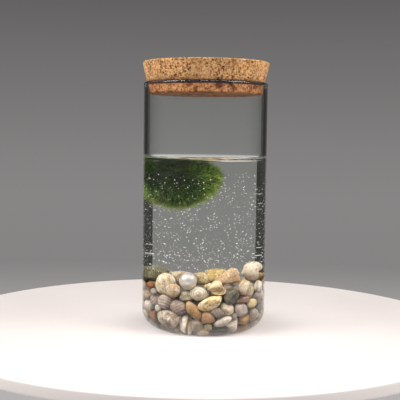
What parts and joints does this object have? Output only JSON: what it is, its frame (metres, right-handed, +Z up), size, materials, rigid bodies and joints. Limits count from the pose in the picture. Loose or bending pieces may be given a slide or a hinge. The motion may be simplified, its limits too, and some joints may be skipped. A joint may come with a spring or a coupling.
{
  "type": "marimo moss ball in corked glass jar",
  "caption": "Round green moss ball floating in a cylindrical glass jar of water with a tapered cork stopper, over a bed of river pebbles, shells and a pearl bead.",
  "frame": {"origin": "middle of the jar base, on the surface the jar stands on", "axes": "+Z up along the jar axis, -Y towards the front, where the pearl bead shows"},
  "size_m": [0.082, 0.082, 0.1719],
  "materials": {
    "glass": "polished",
    "water": "polished",
    "cork": "matte",
    "moss": "matte",
    "pearl": "gloss",
    "gravel": "satin",
    "shell": "satin",
    "white_stone": "satin",
    "cream_stone": "satin",
    "tan_stone": "satin",
    "ochre_stone": "satin",
    "yellow_stone": "satin",
    "olive_stone": "satin",
    "mauve_stone": "satin",
    "grey_stone": "satin",
    "brown_stone": "satin",
    "charcoal_stone": "satin"
  },
  "bodies": {
    "root": {"amber_finger": "ochre_stone", "beige_cobble": "tan_stone", "brown_backing_stone": "brown_stone", "brown_wedge": "brown_stone", "charcoal_cobble": "charcoal_stone", "clam_shell": "shell", "cork_stopper": "cork", "cream_flake": "white_stone", "cream_round": "cream_stone", "cream_toe": "cream_stone", "crystal_chip": "white_stone", "glass_jar": "glass", "golden_chip": "ochre_stone", "gravel_bed": "gravel", "grey_oval": "mauve_stone", "large_yellow_stone": "yellow_stone", "left_back_stone": "cream_stone", "left_side_chip": "tan_stone", "left_striped_pebble": "mauve_stone", "limpet_shell": "shell", "low_brown_pebble": "ochre_stone", "low_side_pebble": "mauve_stone", "mauve_round": "mauve_stone", "middle_back_stone": "mauve_stone", "middle_striped_pebble": "mauve_stone", "moss_ball": "moss", "notched_cobble": "grey_stone", "ochre_striped_pebble": "white_stone", "olive_boulder": "olive_stone", "orange_corner_stone": "ochre_stone", "oyster_chip": "shell", "pale_side_pebble": "cream_stone", "pearl_bead": "pearl", "pink_block": "ochre_stone", "right_back_stone": "tan_stone", "right_grey_pebble": "mauve_stone", "right_side_chip": "grey_stone", "right_striped_pebble": "mauve_stone", "right_tan_pebble": "tan_stone", "rough_charcoal": "charcoal_stone", "russet_chip": "brown_stone", "small_yellow_stone": "yellow_stone", "speckled_wedge": "cream_stone", "tan_nugget": "tan_stone", "tan_slip": "grey_stone", "triangular_fragment": "tan_stone", "turban_shell": "shell", "water": "water", "whelk_shell": "shell", "white_veined_pebble": "white_stone", "yellow_pip": "yellow_stone", "yellow_quartz": "yellow_stone"}
  },
  "joints": []
}
